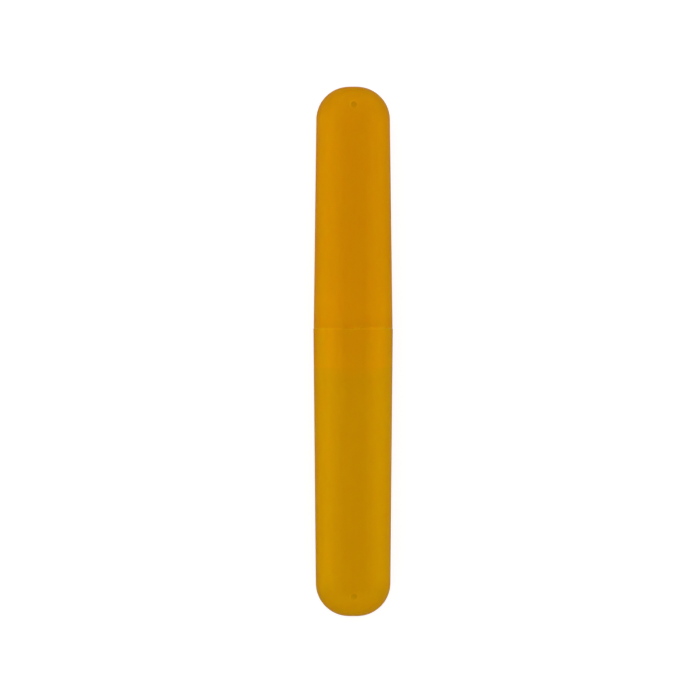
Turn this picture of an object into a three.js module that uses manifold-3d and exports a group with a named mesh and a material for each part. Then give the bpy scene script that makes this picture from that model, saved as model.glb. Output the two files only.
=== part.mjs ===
// Travel case for a toothbrush: a long body and a shorter cap, two thin drafted shells of
// stadium section with rounded ends. The cap's spigot slides into the mouth of the body.
// Millimetres, +Z up. The case lies on its back: +Y runs from the body to the cap, the vents
// face up, and the origin is on the table under the middle of the length.

import * as THREE from "three";
import { mergeVertices } from "three/addons/utils/BufferGeometryUtils.js";
import Module from "manifold-3d";

// Outside form
const CASE_WIDTH = 30; // across the body's rim, the widest place
const CASE_DEPTH = 22; // front to back at the same rim
const BODY_LENGTH = 108.7; // rim to closed end
const CAP_LENGTH = 91.1; // shoulder to closed end, without the spigot
const BODY_DRAFT = 0.54; // degrees on each side, narrowing to the closed end
const CAP_DRAFT = 0.72;
const END_ROUND = 12.5; // radius of both closed ends, seen from the front
const RIM_STEP = 0.1; // the cap's shoulder lies this far inside the body's rim
const RIM_CHAMFER = 0.3; // on the edges of the rim and the shoulder

// Walls and the sliding joint
const BODY_WALL = 1.3;
const CAP_WALL = 1.5; // at the closed end; the core's own draft thickens it to the shoulder
const SPIGOT_WALL = 0.8;
const SPIGOT_LENGTH = 15;
const FIT_CLEARANCE = 0.15; // spigot to bore, on each side
const SEAM_GAP = 0.2; // shoulder to rim
const LEAD_IN_LENGTH = 2; // taper that guides the spigot's tip into the bore
const LEAD_IN_DEPTH = 0.3;
const BEAD_HEIGHT = 0.1; // ring round the spigot that settles into a groove in the bore
const BEAD_WIDTH = 1.6;
const BEAD_FROM_TIP = 5;

// Vents in the front and gate marks on the ends
const VENT_DIAMETER = 2.4;
const BODY_VENT_FROM_END = 7.4;
const CAP_VENT_FROM_END = 6.9;
const GATE_DIAMETER = 3.6;
const GATE_DEPTH = 0.3;

// Milky amber plastic
const BODY_COLOUR = 0xc38a04;
const CAP_COLOUR = 0xca8403;
const ROUGHNESS = 0.45;

// Fineness of the facets
const RING_STEPS = 12; // a half round of the section has twice as many sides
const PROFILE_STEPS = 4; // so has the quarter round of a closed end
const HOLE_SIDES = 24;

const CAP_WIDTH = CASE_WIDTH - 2 * RIM_STEP; // across the cap's shoulder
const FLAT = (CASE_WIDTH - CASE_DEPTH) / 2; // half width of the flat strips, front and back
const JOINT_Y = (BODY_LENGTH - SEAM_GAP - CAP_LENGTH) / 2; // the body's rim, from mid length
const BEAD_DEPTH = SPIGOT_LENGTH - BEAD_FROM_TIP; // from the rim to the middle of the bead

const wasm = await Module();
wasm.setup();

// Half width of a drafted tube at a distance from its rim.
function drafted(rimWidth, draft, distance) {
  return rimWidth / 2 - distance * Math.tan(THREE.MathUtils.degToRad(draft));
}

const bodyHalf = (depth) => drafted(CASE_WIDTH, BODY_DRAFT, depth);
const boreHalf = (depth) => bodyHalf(depth) - BODY_WALL;
const spigotHalf = (depth) => boreHalf(depth) - FIT_CLEARANCE;
const capHalf = (height) => drafted(CAP_WIDTH, CAP_DRAFT, height);

// Each half of the case is drawn standing on its mouth, with the closed end up. This is where
// the round of that end starts, how wide the tube is there, and where the half stops.
function closedEnd(halfAt, mouth, length) {
  const straight = length - END_ROUND;
  return { start: mouth + straight, half: halfAt(straight), top: mouth + length };
}

// Takes an outline of half widths and heights along the tube and round the closed end,
// a wall's thickness inside the outer surface.
function runToEnd(outline, end, wall) {
  outline.lineTo(end.half - wall, end.start);
  outline.absarc(end.half - END_ROUND, end.start, END_ROUND - wall, 0, Math.PI / 2);
}

// Takes an outline over a low round ring that stands out from a wall between two points.
function runOverRing(outline, from, to, height) {
  const crest = from.clone().add(to).divideScalar(2);
  outline.lineTo(from.x, from.y);
  outline.quadraticCurveTo(crest.x + 2 * height, crest.y, to.x, to.y);
}

// The section at one height: two half rounds with the flat strips between them.
function stadium(halfWidth, height, flat) {
  const halfDepth = halfWidth - flat;
  const radius = Math.min(halfWidth, halfDepth);
  const start = flat > 0 ? -Math.PI / 2 : 0;
  const [x, z] = [halfWidth - radius, halfDepth - radius];
  const section = new THREE.Path();
  section.absarc(x, z, radius, start, start + Math.PI);
  section.absarc(-x, -z, radius, start + Math.PI, start + 2 * Math.PI);
  return section.getPoints(RING_STEPS).map((p) => new THREE.Vector3(p.x, height, p.y));
}

// Sections along an outline. The flat strips keep their width on the tube, so the draft is the
// same all round, and the section shrinks evenly where the end closes.
function sections(outline, end, wall) {
  return outline.getPoints(PROFILE_STEPS).map((p) => {
    const closing = p.y > end.start ? p.x / (end.half - wall) : 1;
    return stadium(p.x, p.y, FLAT * closing);
  });
}

// A closed skin through rings of equal point counts, with a fan over the first and the last.
function loft(rings) {
  const count = rings[0].length;
  const last = (rings.length - 1) * count;
  const points = rings.flat();
  const centres = [rings[0], rings.at(-1)].map((ring) => new THREE.Vector3(0, ring[0].y, 0));
  const triangles = [];
  for (let row = 0; row < last; row += count) {
    for (let i = 0; i < count; i++) {
      const a = row + i;
      const b = row + ((i + 1) % count);
      triangles.push(a, a + count, b + count, a, b + count, b);
    }
  }
  for (let i = 0; i < count; i++) {
    const next = (i + 1) % count;
    triangles.push(points.length, i, next);
    triangles.push(points.length + 1, last + next, last + i);
  }
  const geometry = new THREE.BufferGeometry().setFromPoints([...points, ...centres]);
  geometry.setIndex(triangles);
  return geometry;
}

// A shell from the outlines of its two faces, which meet at the mouth.
function shell(inner, outer, end, wall) {
  return loft([...sections(inner, end, wall).reverse(), ...sections(outer, end, 0)]);
}

function bodyShell(end) {
  const groove = [-1, 1].map((side) => BEAD_DEPTH + side * (BEAD_WIDTH / 2 + FIT_CLEARANCE));
  const [from, to] = groove.map((depth) => new THREE.Vector2(boreHalf(depth), depth));
  const inner = new THREE.Path();
  inner.moveTo(boreHalf(0) + RIM_CHAMFER, 0);
  inner.lineTo(boreHalf(RIM_CHAMFER), RIM_CHAMFER);
  runOverRing(inner, from, to, BEAD_HEIGHT);
  runToEnd(inner, end, BODY_WALL);

  const outer = new THREE.Path();
  outer.moveTo(bodyHalf(0) - RIM_CHAMFER, 0);
  outer.lineTo(bodyHalf(RIM_CHAMFER), RIM_CHAMFER);
  runToEnd(outer, end, 0);
  return shell(inner, outer, end, BODY_WALL);
}

function capShell(end) {
  const bead = [1, -1].map((side) => BEAD_DEPTH + (side * BEAD_WIDTH) / 2);
  const [from, to] = bead.map((depth) => new THREE.Vector2(spigotHalf(depth), -depth));
  const leadIn = SPIGOT_LENGTH - LEAD_IN_LENGTH;
  const inner = new THREE.Path();
  inner.moveTo(spigotHalf(SPIGOT_LENGTH) - SPIGOT_WALL, -SPIGOT_LENGTH);
  runToEnd(inner, end, CAP_WALL);

  const outer = new THREE.Path();
  outer.moveTo(spigotHalf(SPIGOT_LENGTH) - LEAD_IN_DEPTH, -SPIGOT_LENGTH);
  outer.lineTo(spigotHalf(leadIn), -leadIn);
  runOverRing(outer, from, to, BEAD_HEIGHT);
  outer.lineTo(spigotHalf(0), SEAM_GAP);
  outer.lineTo(capHalf(0) - RIM_CHAMFER, SEAM_GAP);
  outer.lineTo(capHalf(RIM_CHAMFER), SEAM_GAP + RIM_CHAMFER);
  runToEnd(outer, end, 0);
  return shell(inner, outer, end, CAP_WALL);
}

// A round hole from the middle of the case out through its front.
function ventCutter(height) {
  const radius = VENT_DIAMETER / 2;
  const hole = new THREE.CylinderGeometry(radius, radius, CASE_DEPTH, HOLE_SIDES);
  hole.rotateX(Math.PI / 2);
  return hole.translate(0, height, CASE_DEPTH / 2);
}

// A shallow round recess in the middle of a closed end, where the mould was filled.
function gateCutter(top) {
  const radius = GATE_DIAMETER / 2;
  const recess = new THREE.CylinderGeometry(radius, radius, 2 * GATE_DEPTH, HOLE_SIDES);
  return recess.translate(0, top, 0);
}

function toSolid(geometry) {
  geometry.deleteAttribute("normal");
  geometry.deleteAttribute("uv");
  const merged = mergeVertices(geometry);
  const vertProperties = merged.attributes.position.array;
  const triVerts = new Uint32Array(merged.index.array);
  return new wasm.Manifold(new wasm.Mesh({ numProp: 3, vertProperties, triVerts }));
}

// A named mesh of a shell with its cuts made.
function piece(name, blank, cutters, color) {
  const cut = cutters.reduce((solid, cutter) => solid.subtract(toSolid(cutter)), toSolid(blank));
  const { vertProperties, triVerts } = cut.getMesh();
  const geometry = new THREE.BufferGeometry();
  geometry.setAttribute("position", new THREE.BufferAttribute(vertProperties, 3));
  geometry.setIndex(new THREE.BufferAttribute(triVerts, 1));
  geometry.computeVertexNormals();
  const material = new THREE.MeshStandardMaterial({ color, roughness: ROUGHNESS, metalness: 0 });
  const mesh = new THREE.Mesh(geometry, material);
  mesh.name = name;
  return mesh;
}

function caseBody() {
  const end = closedEnd(bodyHalf, 0, BODY_LENGTH);
  const cutters = [ventCutter(end.top - BODY_VENT_FROM_END), gateCutter(end.top)];
  const body = piece("case_body", bodyShell(end), cutters, BODY_COLOUR);
  body.rotation.z = Math.PI; // its closed end points to -Y, with the vent still up
  return body;
}

function caseCap() {
  const end = closedEnd(capHalf, SEAM_GAP, CAP_LENGTH);
  const cutters = [ventCutter(end.top - CAP_VENT_FROM_END), gateCutter(end.top)];
  return piece("case_cap", capShell(end), cutters, CAP_COLOUR);
}

const toothbrushCase = new THREE.Group();
toothbrushCase.add(caseBody(), caseCap());
toothbrushCase.position.set(0, JOINT_Y, CASE_DEPTH / 2);

export default toothbrushCase;
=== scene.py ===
"""Looks of a travel case for a toothbrush: a body and a pull-off cap, moulded in milky amber plastic.

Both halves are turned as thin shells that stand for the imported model's nodes, in metres and in
its frame: +Y runs along the case from the body to the cap, +Z out of the front with the vents.
"""

import math
from typing import NamedTuple

import bmesh
import bpy
from bpy.props import FloatProperty, FloatVectorProperty, PointerProperty
from mathutils import Matrix, Vector
from mathutils.bvhtree import BVHTree


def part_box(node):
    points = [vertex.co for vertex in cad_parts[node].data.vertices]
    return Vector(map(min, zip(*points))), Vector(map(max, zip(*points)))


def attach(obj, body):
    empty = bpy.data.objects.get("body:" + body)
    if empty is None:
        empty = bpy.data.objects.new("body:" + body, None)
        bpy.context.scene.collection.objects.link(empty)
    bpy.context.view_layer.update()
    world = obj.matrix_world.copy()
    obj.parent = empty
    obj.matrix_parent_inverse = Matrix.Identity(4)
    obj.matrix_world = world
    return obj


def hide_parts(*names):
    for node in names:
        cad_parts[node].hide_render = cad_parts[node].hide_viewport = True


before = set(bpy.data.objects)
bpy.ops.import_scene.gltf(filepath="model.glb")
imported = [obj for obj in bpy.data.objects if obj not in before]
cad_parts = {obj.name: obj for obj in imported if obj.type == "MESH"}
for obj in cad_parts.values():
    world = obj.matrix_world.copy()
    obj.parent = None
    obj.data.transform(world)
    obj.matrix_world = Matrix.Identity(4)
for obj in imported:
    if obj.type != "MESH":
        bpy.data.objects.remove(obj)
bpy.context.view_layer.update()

bl_info = {
    "name": "Toothbrush case",
    "version": (1, 0, 0),
    "blender": (4, 5, 0),
    "location": "3D View > Sidebar > Case",
    "description": "Builds the shells, the plastic and the stage of a toothbrush travel case",
    "category": "Object",
}

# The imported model
BODY_LOW, BODY_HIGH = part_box("case_body")
CAP_LOW, CAP_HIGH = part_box("case_cap")
JOINT_Y = BODY_HIGH.y  # the body's rim
AXIS_Z = (BODY_LOW.z + BODY_HIGH.z) / 2
FLAT = BODY_HIGH.x - (BODY_HIGH.z - AXIS_Z)  # half width of the flat strips, front and back
SPIGOT_LENGTH = JOINT_Y - CAP_LOW.y

# Fineness of the meshes
SIDES = 128  # round a section
FLAT_CELLS = 16  # across a flat strip
DOME_STEPS = 40
EDGE_STEPS = 4
RING_STEPS = 10
RING_SPACING = 0.004  # along the tube
VENT_CELLS = 8  # rows and columns of faces that make room for a vent
MERGE_DISTANCE = 1e-7

# The plastic: where its tints and its painted light and shade start and stop, in metres
FLANK_REACH = (0.003, 0.013)  # from the middle line, towards the sides, which are painted lighter and yellower
END_REACH = (0.084, 0.096)  # from mid length, over which the painted light on the sides fades
TIP_REACH = (0.0885, 0.0975)  # from mid length, towards the painted light of the closed ends
LIMB_SHADE_REACH = (0.0022, 0.0047)  # from the widest line round the case, over its painted shade
VENT_REACH = (0.0015, 0.0021)  # from the middle of an air hole, over its painted highlight
SEAM_LIGHT_REACH = (0.0003, 0.0008)  # from the seam, over the painted light on its edges
SEAT_FADE = 0.0004  # at the deep end of the spigot's seat, where its painted light stops
SEAT_SPREAD = 0.005  # past that end, where the rest of that painted light runs out
NECK_REACH = 0.026  # from the seam, over the cap's thickening wall, which is painted lighter
SPIGOT_FADE = 0.001  # over which the spigot's thin wall passes into the cap

# The plastic: sizes of its marks in metres, and how far they are drawn out along the case
FLOW_SIZE, FLOW_STRETCH = 0.0016, (1, 22, 1)  # streaks from filling the mould
SCUFF_SIZE, SCUFF_STRETCH = 0.0003, (1, 40, 1)  # hairlines from being slid about
DRAG_SIZE, DRAG_STRETCH = 0.0004, (1, 60, 1)  # lines inside, from leaving the mould's core
CLOUD_SIZE = 0.007  # slow changes of shade and satin
GRAIN_SIZE = 0.00028  # grain of the mould's outer face
NOISE_MIDDLE = 0.5  # what the noise swings about

# The plastic: how strongly its tints, marks and painted light show
FLOW_SHADE, CLOUD_SHADE, SCUFF_SHADE, DRAG_SHADE = 0.08, 0.03, 0.03, 0.05
CLOUD_SATIN, GRAIN_SATIN, SCUFF_SATIN, DRAG_SATIN = 0.12, 0.08, 0.1, 0.1
END_EASE = 0.8  # how much of the sides' painted light the closed ends lose
SEAT_STOP = (0.3, 0.8)  # how much of the seat's painted light stops sharply, in the middle and on the sides
SEAM_LIGHT_FLOW = (0.3, 0.7)  # streaks that the painted light along the seam's edges follows
SCUFF_CUT = (0.64, 0.7)  # which part of the noise shows as hairlines
FLOW_RELIEF = 0.6  # height of the streaks against the grain
GRAIN_DEPTH, GRAIN_STRENGTH = 0.00001, 0.6
DRAG_DEPTH, DRAG_STRENGTH = 0.000005, 0.5
SCATTER_RATIOS = (1.0, 0.4, 0.1)  # how far red, green and blue light travel in the plastic
CLEAR_IOR = 1.01  # the clear top hardly mirrors

OUTER_SKIN, INNER_SKIN = 0, 1  # which of a piece's materials a face has
UP, DOWN = 1, -1  # which way the outer and the inner face of the front wall look

FLOOR_REACH = 4  # from the case to the floor's edges


class CaseSizes(bpy.types.PropertyGroup):
    """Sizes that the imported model's boxes don't give"""

    end_round: FloatProperty(
        name="End round", description="Radius of both closed ends, seen from the front",
        default=0.0125, unit="LENGTH")
    body_draft: FloatProperty(
        name="Body draft", description="Lean of the body's walls towards its closed end",
        default=math.radians(0.54), subtype="ANGLE")
    cap_draft: FloatProperty(
        name="Cap draft", description="Lean of the cap's walls towards its closed end",
        default=math.radians(0.72), subtype="ANGLE")
    body_wall: FloatProperty(
        name="Body wall", description="Wall of the body", default=0.0013, unit="LENGTH")
    cap_wall: FloatProperty(
        name="Cap wall", description="Wall of the cap at its closed end",
        default=0.0015, unit="LENGTH")
    spigot_wall: FloatProperty(
        name="Spigot wall", description="Wall of the spigot before its lead-in",
        default=0.0008, unit="LENGTH")
    fit_clearance: FloatProperty(
        name="Fit clearance", description="Room between spigot and bore on each side",
        default=0.00015, unit="LENGTH")
    seam_gap: FloatProperty(
        name="Seam gap", description="Room between the body's rim and the cap's shoulder",
        default=0.00002, unit="LENGTH")
    rim_round: FloatProperty(
        name="Rim round", description="Radius on the edges of the rim and the shoulder",
        default=0.0002, unit="LENGTH")
    tip_round: FloatProperty(
        name="Tip round", description="Radius on the edges of the spigot's tip",
        default=0.00015, unit="LENGTH")
    lead_in_length: FloatProperty(
        name="Lead-in length", description="Length of the taper at the spigot's tip",
        default=0.002, unit="LENGTH")
    lead_in_depth: FloatProperty(
        name="Lead-in depth", description="How far the taper draws in",
        default=0.0003, unit="LENGTH")
    bead_height: FloatProperty(
        name="Bead height", description="Height of the ring round the spigot and depth of its groove",
        default=0.0001, unit="LENGTH")
    bead_width: FloatProperty(
        name="Bead width", description="Width of the ring round the spigot",
        default=0.0016, unit="LENGTH")
    bead_from_tip: FloatProperty(
        name="Bead from tip", description="From the spigot's tip to the middle of the ring",
        default=0.005, unit="LENGTH")
    vent_diameter: FloatProperty(
        name="Vent diameter", description="Bore of the air hole near each closed end",
        default=0.0024, unit="LENGTH")
    vent_edge: FloatProperty(
        name="Vent edge", description="Soft edge round the air holes",
        default=0.00025, unit="LENGTH")
    body_vent_from_end: FloatProperty(
        name="Body vent from end", description="From the body's closed end to its air hole",
        default=0.0074, unit="LENGTH")
    cap_vent_from_end: FloatProperty(
        name="Cap vent from end", description="From the cap's closed end to its air hole",
        default=0.0069, unit="LENGTH")
    gate_diameter: FloatProperty(
        name="Gate diameter", description="Round recess where the mould was filled",
        default=0.0036, unit="LENGTH")
    gate_depth: FloatProperty(
        name="Gate depth", description="Depth of that recess", default=0.0003, unit="LENGTH")
    gate_edge: FloatProperty(
        name="Gate edge", description="Soft edges of that recess",
        default=0.0001, unit="LENGTH")
    stub_diameter: FloatProperty(
        name="Stub diameter", description="What is left of the sprue in the recess",
        default=0.0009, unit="LENGTH")
    stub_height: FloatProperty(
        name="Stub height", description="How far the rest of the sprue stands up",
        default=0.00012, unit="LENGTH")


class PlasticLook(bpy.types.PropertyGroup):
    """Colours and finish of the plastic, with light and shade painted into its colours"""

    body_colour: FloatVectorProperty(
        name="Body colour", description="Amber along the middle of the body",
        default=(0.598, 0.347, 0.0005), subtype="COLOR", size=3, min=0, max=1)
    # Painted light: the body's round sides are drawn lighter and yellower than its middle
    body_painted_flank: FloatVectorProperty(
        name="Body flank", description="Yellower amber on the body's round sides",
        default=(0.835, 0.505, 0.0005), subtype="COLOR", size=3, min=0, max=1)
    cap_colour: FloatVectorProperty(
        name="Cap colour", description="Deeper amber along the middle of the cap",
        default=(0.625, 0.303, 0.0005), subtype="COLOR", size=3, min=0, max=1)
    # Painted light: the cap's round sides are drawn lighter and yellower than its middle
    cap_painted_flank: FloatVectorProperty(
        name="Cap flank", description="Yellower amber on the cap's round sides",
        default=(0.835, 0.422, 0.0005), subtype="COLOR", size=3, min=0, max=1)
    # Painted light: lightens the body's closed end
    body_end_light_tint: FloatVectorProperty(
        name="Body end tint", description="What the body's closed end multiplies the colour by",
        default=(1.19, 1.15, 1.0), size=3, min=0, max=2)
    # Painted light: lightens the cap's closed end
    cap_end_light_tint: FloatVectorProperty(
        name="Cap end tint", description="What the cap's closed end multiplies the colour by",
        default=(1.08, 1.075, 1.0), size=3, min=0, max=2)
    # Painted light: lightens the cap's wall next to the seam
    neck_light_tint: FloatVectorProperty(
        name="Neck tint", description="What the cap's wall multiplies the colour by next to the seam",
        default=(1.1, 1.1, 1.0), size=3, min=0, max=2)
    # Painted shade: darkens a band along the widest line round the case
    limb_shade_tint: FloatVectorProperty(
        name="Belt tint", description="What the widest line round the case multiplies the colour by",
        default=(0.85, 0.85, 1.0), size=3, min=0, max=2)
    # Painted light: a lighter band over the seat of the spigot
    seat_light_tint: FloatVectorProperty(
        name="Seat tint", description="What the seat of the spigot multiplies the colour by",
        default=(1.17, 1.055, 1.0), size=3, min=0, max=2)
    # Painted highlight: lightens the edges of the air holes
    vent_highlight_tint: FloatVectorProperty(
        name="Vent tint", description="What the edges of the air holes multiply the colour by",
        default=(1.06, 1.1, 1.0), size=3, min=0, max=2)
    # Painted light: whitens the edges at the seam
    seam_light_tint: FloatVectorProperty(
        name="Worn tint", description="What rubbed edges multiply the colour by",
        default=(1.15, 1.2, 4.0), size=3, min=0, max=8)
    see_through: FloatProperty(
        name="See-through", description="Share of the light that passes each face of a wall",
        default=0.5, min=0, max=1, subtype="FACTOR")
    spigot_see_through: FloatProperty(
        name="Spigot see-through", description="The same share on the thin wall of the spigot",
        default=0.7, min=0, max=1, subtype="FACTOR")
    through_colour: FloatVectorProperty(
        name="Through colour", description="Colour of the light that has passed a face",
        default=(0.97, 0.82, 0.05), subtype="COLOR", size=3, min=0, max=1)
    scatter: FloatProperty(
        name="Scatter", description="How far red light travels below a face",
        default=0.001, unit="LENGTH")
    roughness: FloatProperty(
        name="Roughness", description="Satin of the moulded surface",
        default=0.45, min=0, max=1, subtype="FACTOR")
    # Painted light: the inside is drawn paler, standing in for light that comes through the walls
    inner_painted_light: FloatProperty(
        name="Inner paleness", description="How much paler the amber is inside", default=1.3, min=0)
    inner_roughness: FloatProperty(
        name="Inner roughness", description="Polish that the mould's core leaves inside",
        default=0.3, min=0, max=1, subtype="FACTOR")
    clear_layer: FloatProperty(
        name="Clear layer", description="How much the plastic deepens in colour seen at a slant",
        default=0.5, min=0, max=1, subtype="FACTOR")
    clear_tint: FloatVectorProperty(
        name="Clear tint", description="Colour that the clear top of the plastic lets through",
        default=(0.88, 0.79, 0.95), subtype="COLOR", size=3, min=0, max=1)
    gloss: FloatProperty(
        name="Gloss", description="Strength of the mirror reflection",
        default=0.05, min=0, max=1, subtype="FACTOR")
    gloss_tint: FloatVectorProperty(
        name="Gloss tint", description="Colour of the mirror reflection",
        default=(1.0, 0.65, 0.1), subtype="COLOR", size=3, min=0, max=1)


class StageLook(bpy.types.PropertyGroup):
    """Camera, floor and light"""

    lens: FloatProperty(
        name="Lens", description="Focal length in millimetres", default=800, unit="CAMERA")
    view_width: FloatProperty(
        name="View width", description="What the picture spans at the height of the case's axis",
        default=0.2644, unit="LENGTH")
    view_turn: FloatProperty(
        name="View turn", description="Turn of the camera about the case's length",
        default=math.radians(2.3), subtype="ANGLE")
    aside: FloatProperty(
        name="Aside", description="How far right of the picture's middle the case lies",
        default=0.00117, unit="LENGTH")
    below: FloatProperty(
        name="Below", description="How far below the picture's middle the case lies",
        default=0.00051, unit="LENGTH")
    ambient: FloatProperty(
        name="Ambient", description="Level of the light from all round", default=0.89)
    horizon_low: FloatProperty(
        name="Horizon low", description="Height on the unit sky below which it gives no light",
        default=0.0)
    horizon_high: FloatProperty(
        name="Horizon high", description="Height on the unit sky above which it gives full light",
        default=0.4)
    lamp_power: FloatProperty(
        name="Lamp power", description="Power of each side lamp", default=0.85, unit="POWER")
    left_share: FloatProperty(
        name="Left share", description="How much stronger the left lamp is", default=1.6)
    lamp_turn: FloatProperty(
        name="Lamp turn", description="How far each lamp leans from straight above the case",
        default=math.radians(35), subtype="ANGLE")
    lamp_distance: FloatProperty(
        name="Lamp distance", description="From the case to each lamp", default=0.65, unit="LENGTH")
    lamp_width: FloatProperty(
        name="Lamp width", description="Across each lamp", default=0.3, unit="LENGTH")
    lamp_length: FloatProperty(
        name="Lamp length", description="Along each lamp", default=0.8, unit="LENGTH")
    lamp_forward: FloatProperty(
        name="Lamp forward", description="How far the lamps stand towards the cap",
        default=0.25, unit="LENGTH")
    floor_colour: FloatVectorProperty(
        name="Floor colour", description="Pale grey of the floor",
        default=(0.3, 0.3, 0.3), subtype="COLOR", size=3, min=0, max=1)
    floor_glow: FloatProperty(
        name="Floor glow", description="What brings the floor up to white in the picture",
        default=0.78)


# Outlines

class ClosedEnd(NamedTuple):
    """Where the round of a closed end starts, how wide the tube is there, and where it stops."""

    start: float
    half: float
    top: float


def ring(half, y, spread=FLAT):
    """One point of an outline: half width, distance from the body's rim and half width of the flats."""
    return Vector((half, y, spread))


def stretch(start, stop, steps):
    """Points on a straight part of an outline."""
    return [start.lerp(stop, step / steps) for step in range(steps + 1)]


def wall_run(start, stop):
    """A straight part with rings at about the usual spacing."""
    return stretch(start, stop, max(1, round(abs(stop.y - start.y) / RING_SPACING)))


def rounded(half, y, radius, start, stop, steps=EDGE_STEPS, spread=FLAT):
    """Points on an arc about a centre: 0 degrees faces outwards and 90 the closed end."""
    turns = [math.radians(start + (stop - start) * step / steps) for step in range(steps + 1)]
    return [ring(half + radius * math.cos(t), y + radius * math.sin(t), spread) for t in turns]


def low_ring(start, stop, height):
    """Points over a low round ring on a wall, or through its groove."""
    points = stretch(start, stop, RING_STEPS)
    for step, point in enumerate(points):
        share = step / RING_STEPS
        point.x += 4 * share * (1 - share) * height
    return points


def dome(end, end_round, wall):
    """Points round a closed end from the tube to its pole, a wall inside the outer face."""
    points = rounded(end.half - end_round, end.start, end_round - wall, 0, 90, DOME_STEPS)
    for point in points:
        point.z = FLAT * point.x / (end.half - wall)
    return points


def gate(sizes, top):
    """Points of the round gate recess, from its edge to the sprue's stub in the middle."""
    radius, edge = sizes.gate_diameter / 2, sizes.gate_edge
    floor = top - sizes.gate_depth
    stub = sizes.stub_diameter / 2
    stub_top = floor + sizes.stub_height
    return [
        *rounded(radius + edge, top - edge, edge, 90, 180, spread=0),
        *rounded(radius - edge, floor + edge, edge, 0, -90, spread=0),
        ring(stub, floor, 0),
        *rounded(stub - edge / 2, stub_top - edge / 2, edge / 2, 0, 90, spread=0),
        ring(0, stub_top, 0),
    ]


def outer_end(sizes, end):
    """Points of the outer face round a closed end and into its gate recess."""
    recess = gate(sizes, end.top)
    clear = [p for p in dome(end, sizes.end_round, 0) if p.x - p.z > recess[0].x]
    return clear + recess


def inner_end(sizes, end, wall):
    """Points of the inner face from the middle of a closed end to the tube."""
    return [ring(0, end.top - wall, 0), *reversed(dome(end, sizes.end_round, wall))]


def drafted(half, draft, distance):
    """Half width of a leaning wall at a distance from where it is known."""
    return half - distance * math.tan(draft)


def body_half(sizes, depth):
    return drafted(BODY_HIGH.x, sizes.body_draft, depth - sizes.rim_round)


def bore_half(sizes, depth):
    return body_half(sizes, depth) - sizes.body_wall


def spigot_half(sizes, depth):
    return bore_half(sizes, depth) - sizes.fit_clearance


def cap_half(sizes, height):
    return drafted(CAP_HIGH.x, sizes.cap_draft, height - sizes.rim_round)


def body_end(sizes):
    length = JOINT_Y - BODY_LOW.y
    straight = length - sizes.end_round
    return ClosedEnd(straight, body_half(sizes, straight), length)


def cap_end(sizes):
    length = CAP_HIGH.y - JOINT_Y
    straight = length - sizes.end_round
    return ClosedEnd(straight, cap_half(sizes, straight - sizes.seam_gap), length)


def body_outline(sizes):
    """The body's section from the middle of its inside, round the rim, to the gate outside."""
    end = body_end(sizes)
    edge = sizes.rim_round
    inside = inner_end(sizes, end, sizes.body_wall)
    bead = SPIGOT_LENGTH - sizes.bead_from_tip
    reach = sizes.bead_width / 2 + sizes.fit_clearance
    groove = [ring(bore_half(sizes, depth), depth) for depth in (bead + reach, bead - reach)]
    mouth = ring(bore_half(sizes, edge), edge)
    widest = ring(body_half(sizes, edge), edge)
    inside += [
        *wall_run(inside[-1], groove[0]),
        *low_ring(*groove, sizes.bead_height),
        *wall_run(groove[1], mouth),
    ]
    outside = [
        *rounded(mouth.x + edge, edge, edge, 180, 270),
        *rounded(widest.x - edge, edge, edge, -90, 0),
        *wall_run(widest, ring(end.half, end.start)),
        *outer_end(sizes, end),
    ]
    return inside, outside


def cap_outline(sizes):
    """The cap's section from the middle of its inside, round the spigot, to the gate outside."""
    end = cap_end(sizes)
    edge, soft = sizes.rim_round, sizes.tip_round
    shoulder = sizes.seam_gap
    inside = inner_end(sizes, end, sizes.cap_wall)
    tip_outer = spigot_half(sizes, SPIGOT_LENGTH) - sizes.lead_in_depth
    tip_inner = spigot_half(sizes, SPIGOT_LENGTH) - sizes.spigot_wall
    lead_in = SPIGOT_LENGTH - sizes.lead_in_length
    middle = SPIGOT_LENGTH - sizes.bead_from_tip
    reach = sizes.bead_width / 2
    taper = ring(spigot_half(sizes, lead_in), -lead_in)
    bead = [ring(spigot_half(sizes, depth), -depth) for depth in (middle + reach, middle - reach)]
    root = ring(spigot_half(sizes, 0), shoulder)
    widest = ring(cap_half(sizes, edge), shoulder + edge)
    inside += wall_run(inside[-1], ring(tip_inner, soft - SPIGOT_LENGTH))
    outside = [
        *rounded(tip_inner + soft, soft - SPIGOT_LENGTH, soft, 180, 270),
        *rounded(tip_outer - soft, soft - SPIGOT_LENGTH, soft, -90, 0),
        *wall_run(taper, bead[0]),
        *low_ring(*bead, sizes.bead_height),
        *wall_run(bead[1], root),
        *rounded(widest.x - edge, widest.y, edge, -90, 0),
        *wall_run(widest, ring(end.half, end.start)),
        *outer_end(sizes, end),
    ]
    return inside, outside


# Meshes

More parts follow.
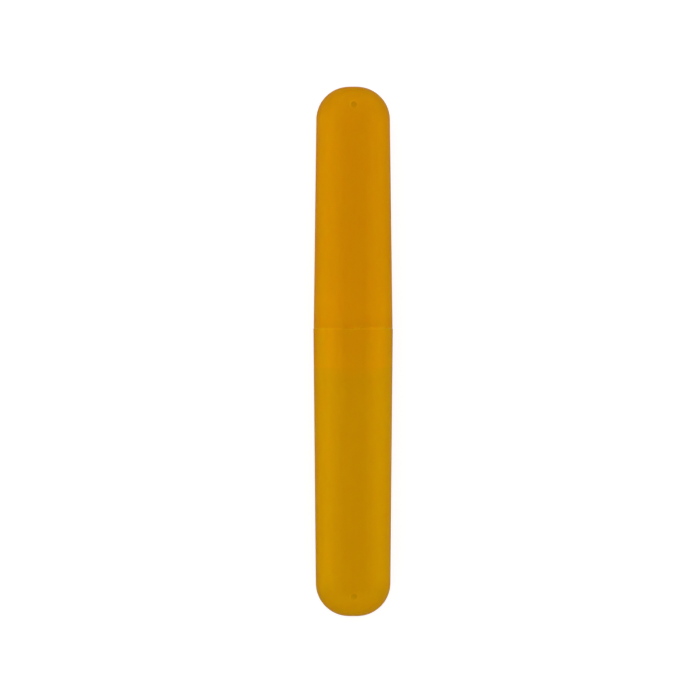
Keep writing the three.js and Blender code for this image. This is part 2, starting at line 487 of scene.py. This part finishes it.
def turned_shell(inside, outside):
    """A closed shell: its outline spun about Y, then the halves drawn apart by the flat strips.

    The outside starts at the point where the inside ends.
    """
    bm = bmesh.new()
    spread = bm.verts.layers.float.new("spread")
    inner = bm.verts.layers.float.new("inner")
    half_step = math.pi / SIDES
    verts = []
    for number, (half, y, flat) in enumerate(inside + outside[1:]):
        vert = bm.verts.new((0, y, (half - flat) / math.cos(half_step)))
        vert[spread] = flat
        vert[inner] = number < len(inside)
        verts.append(vert)
    edges = [bm.edges.new(pair) for pair in zip(verts, verts[1:])]
    bmesh.ops.rotate(bm, verts=verts, matrix=Matrix.Rotation(half_step, 3, "Y"))
    bmesh.ops.spin(
        bm, geom=verts + edges, axis=(0, 1, 0), angle=math.tau, steps=SIDES, use_merge=True)
    bmesh.ops.remove_doubles(bm, verts=bm.verts, dist=MERGE_DISTANCE)
    for vert in bm.verts:
        vert.co.x += math.copysign(vert[spread], vert.co.x)
    strips = [
        edge for edge in bm.edges
        if edge.verts[0].co.x * edge.verts[1].co.x < 0 and min(v[spread] for v in edge.verts) > 0
    ]
    bmesh.ops.subdivide_edges(bm, edges=strips, cuts=FLAT_CELLS - 1, use_grid_fill=True)
    bmesh.ops.recalc_face_normals(bm, faces=bm.faces)
    for face in bm.faces:
        within = min(vert[inner] for vert in face.verts) > 0.5
        face.material_index = INNER_SKIN if within else OUTER_SKIN
    return bm


def vent_block(bm, y, facing):
    """Faces of the front wall round a vent, on its outer side, facing up, or on its inner one."""
    spread = bm.verts.layers.float["spread"]
    strip = []
    for face in bm.faces:
        middle = face.calc_center_median()
        flat = min(vert[spread] for vert in face.verts)
        inside = abs(middle.x) < flat * VENT_CELLS / FLAT_CELLS
        if middle.z > 0 and face.normal.z * facing > 0 and inside:
            strip.append((abs(middle.y - y), face))
    strip.sort(key=lambda entry: entry[0])
    return [face for _, face in strip[:VENT_CELLS * VENT_CELLS]]


def open_mouth(bm, skin, sizes, y, facing):
    """Cuts a round mouth in one side of the front wall and gives its vertices and its edges."""
    block = vent_block(bm, y, facing)
    border = [e for e in {e for f in block for e in f.edges}
              if sum(f in block for f in e.link_faces) == 1]
    bmesh.ops.delete(bm, geom=block, context="FACES")
    circle = bmesh.ops.create_circle(
        bm, segments=len(border), radius=sizes.vent_diameter / 2,
        matrix=Matrix.Translation((0, y, 0)))["verts"]
    for vert in circle:
        start = Vector((vert.co.x, vert.co.y, AXIS_Z * (1 + facing)))
        vert.co.z = skin.ray_cast(start, Vector((0, 0, -facing)))[0].z
    mouth = list({edge for vert in circle for edge in vert.link_edges})
    for face in bmesh.ops.bridge_loops(bm, edges=border + mouth)["faces"]:
        face.material_index = INNER_SKIN if facing == DOWN else OUTER_SKIN
    return circle, mouth


def cut_vent(bm, sizes, y):
    """Opens a round hole through the front wall, with a soft outer edge, and gives its mouth's middle."""
    skin = BVHTree.FromBMesh(bm)
    circle, outer_mouth = open_mouth(bm, skin, sizes, y, UP)
    _, inner_mouth = open_mouth(bm, skin, sizes, y, DOWN)
    middle = sum((vert.co for vert in circle), Vector()) / len(circle)
    bmesh.ops.bridge_loops(bm, edges=outer_mouth + inner_mouth)
    bmesh.ops.bevel(
        bm, geom=outer_mouth, offset=sizes.vent_edge, segments=EDGE_STEPS, profile=0.5,
        affect="EDGES", material=-1)
    bmesh.ops.recalc_face_normals(bm, faces=bm.faces)
    return middle


def add_piece(context, name, bm, place, materials):
    """Makes an object of a finished shell, with its place in the mesh."""
    bmesh.ops.transform(bm, matrix=place, verts=bm.verts)
    for face in bm.faces:
        face.smooth = True
    mesh = bpy.data.meshes.new(name)
    bm.to_mesh(mesh)
    bm.free()
    for material in materials:
        mesh.materials.append(material)
    piece = bpy.data.objects.new(name, mesh)
    context.scene.collection.objects.link(piece)
    shading = piece.modifiers.new("Even shading", "WEIGHTED_NORMAL")
    shading.keep_sharp = True
    return piece


# Materials

class Value:
    """An output in a shader tree, with arithmetic that adds Math nodes."""

    def __init__(self, tree, socket):
        self.tree = tree
        self.socket = socket

    def math(self, operation, *operands):
        return self.tree.node("ShaderNodeMath", {"operation": operation}, dict(enumerate(operands)))

    def __add__(self, other):
        return self.math("ADD", self, other)

    def __sub__(self, other):
        return self.math("SUBTRACT", self, other)

    def __rsub__(self, other):
        return self.math("SUBTRACT", other, self)

    def __mul__(self, other):
        return self.math("MULTIPLY", self, other)

    def __abs__(self):
        return self.math("ABSOLUTE", self)

    def or_more(self, other):
        """The larger of the two."""
        return self.math("MAXIMUM", self, other)

    __radd__ = __add__
    __rmul__ = __mul__


class ShaderTree:
    """The emptied node tree of a material or a world."""

    def __init__(self, owner):
        owner.use_nodes = True
        self.tree = owner.node_tree
        self.tree.nodes.clear()

    def node(self, kind, settings=None, inputs=None, output=0):
        """Adds a node, sets it up, fills its sockets with values or links, and gives one output."""
        made = self.tree.nodes.new(kind)
        for name, value in (settings or {}).items():
            setattr(made, name, value)
        for key, value in (inputs or {}).items():
            if isinstance(value, Value):
                self.tree.links.new(value.socket, made.inputs[key])
            else:
                made.inputs[key].default_value = value
        return Value(self, made.outputs[output]) if made.outputs else None

    def axis(self, place, name):
        """One coordinate of a place."""
        return self.node("ShaderNodeSeparateXYZ", {}, {"Vector": place}, name)

    def rise(self, value, low, high):
        """0 up to the low value, 1 from the high one on, and a smooth slope between them."""
        return self.node(
            "ShaderNodeMapRange", {"interpolation_type": "SMOOTHSTEP"},
            {"Value": value, "From Min": low, "From Max": high})

    def blend(self, share, first, second):
        """A mix of two colours."""
        return self.node(
            "ShaderNodeMix", {"data_type": "RGBA"}, {"Factor": share, 6: first, 7: second}, 2)

    def tinted(self, colour, share, tint):
        """A colour multiplied by a tint where the share is 1."""
        part = self.blend(share, (1, 1, 1, 1), (*tint, 1))
        return self.node("ShaderNodeVectorMath", {"operation": "MULTIPLY"}, {0: colour, 1: part})

    def noise(self, place, size, stretch=(1, 1, 1)):
        """Noise from 0 to 1 whose blots have about that size, drawn out along the axes."""
        scale = [1 / (size * s) for s in stretch]
        spot = self.node("ShaderNodeMapping", {}, {"Vector": place, "Scale": scale}, "Vector")
        return self.node("ShaderNodeTexNoise", {}, {"Vector": spot, "Scale": 1})


def moulded(tree, colour, roughness, bump, share, look):
    """Milky plastic: light scatters below a satin face, and a share of it passes through."""
    face = tree.node(
        "ShaderNodeBsdfPrincipled", {"subsurface_method": "RANDOM_WALK"},
        {
            "Base Color": colour,
            "Roughness": roughness,
            "Specular IOR Level": look.gloss,
            "Specular Tint": (*look.gloss_tint, 1),
            "Subsurface Weight": 1.0,
            "Subsurface Radius": SCATTER_RATIOS,
            "Subsurface Scale": look.scatter,
            "Coat Weight": look.clear_layer,
            "Coat Tint": (*look.clear_tint, 1),
            "Coat IOR": CLEAR_IOR,
            "Coat Roughness": look.roughness,
            "Normal": bump,
        })
    through = tree.node(
        "ShaderNodeBsdfTranslucent", {}, {"Color": (*look.through_colour, 1), "Normal": bump})
    shader = tree.node("ShaderNodeMixShader", {}, {"Fac": share, 1: face, 2: through})
    tree.node("ShaderNodeOutputMaterial", {}, {"Surface": shader})


def passing_share(tree, y, look, spigot):
    """The share of light that passes a face, larger on the spigot of the cap."""
    if not spigot:
        return look.see_through
    thin = 1 - tree.rise(y, JOINT_Y - SPIGOT_FADE, JOINT_Y)
    return look.see_through + (look.spigot_see_through - look.see_through) * thin


def seat_light_share(tree, y, side):
    """1 on the spigot's seat, where light is painted: part of it stops at the seat's end and the rest
    runs out below.
    """
    end = JOINT_Y - SPIGOT_LENGTH
    sharp = SEAT_STOP[0] + (SEAT_STOP[1] - SEAT_STOP[0]) * side
    stopping = tree.rise(y, end, end + SEAT_FADE)
    running_out = tree.rise(y, end - SEAT_SPREAD, end)
    return running_out + sharp * (stopping - running_out)


def outer_amber(name, core, flank, end_light_tint, vent, look, seat=False, spigot=False):
    """The outside: painted lighter and yellower on the sides, painted lighter at the closed ends, over
    the spigot's seat, at the cap's neck, round the air holes and along the seam's edges, painted darker
    round its widest line, with flow marks, a fine grain and scuffs.
    """
    material = bpy.data.materials.new(name)
    tree = ShaderTree(material)
    place = tree.node("ShaderNodeTexCoord", output="Object")
    x, y = tree.axis(place, "X"), tree.axis(place, "Y")
    flow = tree.noise(place, FLOW_SIZE, FLOW_STRETCH)
    scuff = tree.rise(tree.noise(place, SCUFF_SIZE, SCUFF_STRETCH), *SCUFF_CUT)
    cloud = tree.noise(place, CLOUD_SIZE)
    grain = tree.noise(place, GRAIN_SIZE)
    # Painted light: the round sides are drawn lighter and yellower, less so near the closed ends
    side = tree.rise(abs(x), *FLANK_REACH)
    end, tip = tree.rise(abs(y), *END_REACH), tree.rise(abs(y), *TIP_REACH)
    colour = tree.blend(side * (1 - END_EASE * end), (*core, 1), (*flank, 1))
    # Painted light: the closed ends are drawn lighter
    colour = tree.tinted(colour, tip, end_light_tint)
    # Painted light: a lighter band over the spigot's seat
    if seat:
        colour = tree.tinted(colour, seat_light_share(tree, y, side), look.seat_light_tint)
    # Painted light: the cap's wall is drawn lighter next to the seam
    if spigot:
        colour = tree.tinted(colour, 1 - tree.rise(y, JOINT_Y, JOINT_Y + NECK_REACH), look.neck_light_tint)
    # Painted shade: a darker band along the widest line round the case
    limb_shade = 1 - tree.rise(abs(tree.axis(place, "Z") - AXIS_Z), *LIMB_SHADE_REACH)
    colour = tree.tinted(colour, limb_shade, look.limb_shade_tint)
    # Painted highlight round each air hole
    off_vent = tree.node(
        "ShaderNodeVectorMath", {"operation": "DISTANCE"}, {0: place, 1: vent}, "Value")
    colour = tree.tinted(colour, 1 - tree.rise(off_vent, *VENT_REACH), look.vent_highlight_tint)
    # Painted light along the seam's edges, broken up by the flow streaks
    rim = 1 - tree.rise(abs(y - JOINT_Y), *SEAM_LIGHT_REACH)
    colour = tree.tinted(colour, rim * tree.rise(flow, *SEAM_LIGHT_FLOW), look.seam_light_tint)
    streaks = FLOW_SHADE * (flow - NOISE_MIDDLE)
    clouding = CLOUD_SHADE * (cloud - NOISE_MIDDLE)
    shade = 1 + streaks + clouding + SCUFF_SHADE * scuff
    colour = tree.node("ShaderNodeVectorMath", {"operation": "SCALE"}, {0: colour, "Scale": shade})
    dulling = CLOUD_SATIN * (cloud - NOISE_MIDDLE) + GRAIN_SATIN * (grain - NOISE_MIDDLE)
    roughness = look.roughness + dulling + SCUFF_SATIN * scuff
    bump = tree.node(
        "ShaderNodeBump", {},
        {"Height": grain + FLOW_RELIEF * flow, "Distance": GRAIN_DEPTH, "Strength": GRAIN_STRENGTH},
        "Normal")
    moulded(tree, colour, roughness, bump, passing_share(tree, y, look, spigot), look)
    return material


def inner_amber(name, core, look, spigot=False):
    """The inside: painted paler for light that comes through the walls, smooth from the mould's core,
    with drag marks from leaving it.
    """
    material = bpy.data.materials.new(name)
    tree = ShaderTree(material)
    place = tree.node("ShaderNodeTexCoord", output="Object")
    y = tree.axis(place, "Y")
    drag = tree.noise(place, DRAG_SIZE, DRAG_STRETCH)
    # Painted light: the inside is drawn paler
    shade = look.inner_painted_light * (1 + DRAG_SHADE * (drag - NOISE_MIDDLE))
    colour = tree.node("ShaderNodeVectorMath", {"operation": "SCALE"}, {0: tuple(core), "Scale": shade})
    roughness = look.inner_roughness + DRAG_SATIN * (drag - NOISE_MIDDLE)
    bump = tree.node(
        "ShaderNodeBump", {},
        {"Height": drag, "Distance": DRAG_DEPTH, "Strength": DRAG_STRENGTH}, "Normal")
    moulded(tree, colour, roughness, bump, passing_share(tree, y, look, spigot), look)
    return material


# Stage

def seen_directly(tree):
    """1 for rays that show a surface to the camera, straight, mirrored or through glass."""
    straight, mirrored, through = [
        tree.node("ShaderNodeLightPath", output=f"Is {kind} Ray")
        for kind in ("Camera", "Glossy", "Transmission")
    ]
    return straight.or_more(mirrored).or_more(through)


def floor_material(look):
    """Pale floor that reads white in the picture and still takes the shadow."""
    material = bpy.data.materials.new("pale_floor")
    tree = ShaderTree(material)
    matt = tree.node("ShaderNodeBsdfDiffuse", {}, {"Color": (*look.floor_colour, 1)})
    glow = tree.node("ShaderNodeEmission", {}, {"Strength": seen_directly(tree) * look.floor_glow})
    shader = tree.node("ShaderNodeAddShader", {}, {0: matt, 1: glow})
    tree.node("ShaderNodeOutputMaterial", {}, {"Surface": shader})
    return material


def add_floor(context, look):
    bm = bmesh.new()
    bmesh.ops.create_grid(bm, x_segments=1, y_segments=1, size=FLOOR_REACH)
    mesh = bpy.data.meshes.new("floor")
    bm.to_mesh(mesh)
    bm.free()
    mesh.materials.append(floor_material(look))
    floor = bpy.data.objects.new("floor", mesh)
    context.scene.collection.objects.link(floor)


def add_world(context, look):
    """White all round where it is seen, and softer as a light."""
    world = bpy.data.worlds.new("studio")
    tree = ShaderTree(world)
    height = tree.axis(tree.node("ShaderNodeTexCoord", output="Generated"), "Z")
    soft = look.ambient * tree.rise(height, look.horizon_low, look.horizon_high)
    seen = seen_directly(tree)
    level = soft * (1 - seen) + seen
    light = tree.node("ShaderNodeBackground", {}, {"Color": (1, 1, 1, 1), "Strength": level})
    tree.node("ShaderNodeOutputWorld", {}, {"Surface": light})
    context.scene.world = world


def swing(item, target, turn, distance):
    """Places a lamp or the camera above a point, turned about the case's length, with +Y up."""
    back = Vector((math.sin(turn), 0, math.cos(turn)))
    item.location = target + distance * back
    item.rotation_euler = (0, turn, 0)


def add_lamp(context, name, turn, power, look):
    """A long soft lamp beside the case."""
    data = bpy.data.lights.new(name, "AREA")
    data.shape = "RECTANGLE"
    data.size, data.size_y = look.lamp_width, look.lamp_length
    data.energy = power
    lamp = bpy.data.objects.new(name, data)
    context.scene.collection.objects.link(lamp)
    swing(lamp, Vector((0, look.lamp_forward, AXIS_Z)), turn, look.lamp_distance)


def add_camera(context, look):
    """Looks down on the front, framed as a picture whose width spans a given length."""
    data = bpy.data.cameras.new("camera")
    data.lens = look.lens
    camera = bpy.data.objects.new("camera", data)
    context.scene.collection.objects.link(camera)
    distance = look.view_width * data.lens / data.sensor_width
    swing(camera, Vector((-look.aside, look.below, AXIS_Z)), -look.view_turn, distance)
    context.scene.camera = camera


# Operators

class CASE_OT_body(bpy.types.Operator):
    """Build the longer half, with its bore, groove, vent and gate recess"""

    bl_idname = "toothbrush_case.body"
    bl_label = "Build Body"

    def execute(self, context):
        sizes, look = context.scene.case_sizes, context.scene.case_plastic
        bm = turned_shell(*body_outline(sizes))
        vent = cut_vent(bm, sizes, body_end(sizes).top - sizes.body_vent_from_end)
        place = Matrix.Translation((0, JOINT_Y, AXIS_Z)) @ Matrix.Rotation(math.pi, 4, "Z")
        finishes = (
            outer_amber(
                "body_amber", look.body_colour, look.body_painted_flank, look.body_end_light_tint, place @ vent, look,
                seat=True),
            inner_amber("body_inner_amber", look.body_colour, look))
        piece = add_piece(context, "body_shell", bm, place, finishes)
        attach(piece, "body")
        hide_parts("case_body")
        return {"FINISHED"}


class CASE_OT_cap(bpy.types.Operator):
    """Build the shorter half, with its spigot, bead, vent and gate recess"""

    bl_idname = "toothbrush_case.cap"
    bl_label = "Build Cap"

    def execute(self, context):
        sizes, look = context.scene.case_sizes, context.scene.case_plastic
        bm = turned_shell(*cap_outline(sizes))
        vent = cut_vent(bm, sizes, cap_end(sizes).top - sizes.cap_vent_from_end)
        place = Matrix.Translation((0, JOINT_Y, AXIS_Z))
        finishes = (
            outer_amber(
                "cap_amber", look.cap_colour, look.cap_painted_flank, look.cap_end_light_tint, place @ vent, look,
                spigot=True),
            inner_amber("cap_inner_amber", look.cap_colour, look, spigot=True))
        piece = add_piece(context, "cap_shell", bm, place, finishes)
        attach(piece, "cap")
        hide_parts("case_cap")
        return {"FINISHED"}


class CASE_OT_stage(bpy.types.Operator):
    """Set up the camera, the pale floor and the soft light"""

    bl_idname = "toothbrush_case.stage"
    bl_label = "Set Stage"

    def execute(self, context):
        look = context.scene.case_stage
        context.scene.view_settings.view_transform = "Standard"
        add_floor(context, look)
        add_world(context, look)
        add_lamp(context, "left_lamp", -look.lamp_turn, look.lamp_power * look.left_share, look)
        add_lamp(context, "right_lamp", look.lamp_turn, look.lamp_power, look)
        add_camera(context, look)
        return {"FINISHED"}


class CASE_PT_panel(bpy.types.Panel):
    """Lists the steps and the values that can be changed"""

    bl_idname = "CASE_PT_panel"
    bl_label = "Toothbrush Case"
    bl_space_type = "VIEW_3D"
    bl_region_type = "UI"
    bl_category = "Case"

    def draw(self, context):
        layout = self.layout
        for step in (CASE_OT_body, CASE_OT_cap, CASE_OT_stage):
            layout.operator(step.bl_idname)
        for group in (context.scene.case_sizes, context.scene.case_plastic, context.scene.case_stage):
            box = layout.box()
            for name in group.__annotations__:
                box.prop(group, name)


CLASSES = (
    CaseSizes, PlasticLook, StageLook, CASE_OT_body, CASE_OT_cap, CASE_OT_stage, CASE_PT_panel)


def register():
    for cls in CLASSES:
        bpy.utils.register_class(cls)
    bpy.types.Scene.case_sizes = PointerProperty(type=CaseSizes)
    bpy.types.Scene.case_plastic = PointerProperty(type=PlasticLook)
    bpy.types.Scene.case_stage = PointerProperty(type=StageLook)


def unregister():
    del bpy.types.Scene.case_stage
    del bpy.types.Scene.case_plastic
    del bpy.types.Scene.case_sizes
    for cls in reversed(CLASSES):
        bpy.utils.unregister_class(cls)


def main():
    register()
    bpy.ops.toothbrush_case.stage()
    bpy.ops.toothbrush_case.body()
    bpy.ops.toothbrush_case.cap()


if __name__ == "__main__":
    main()
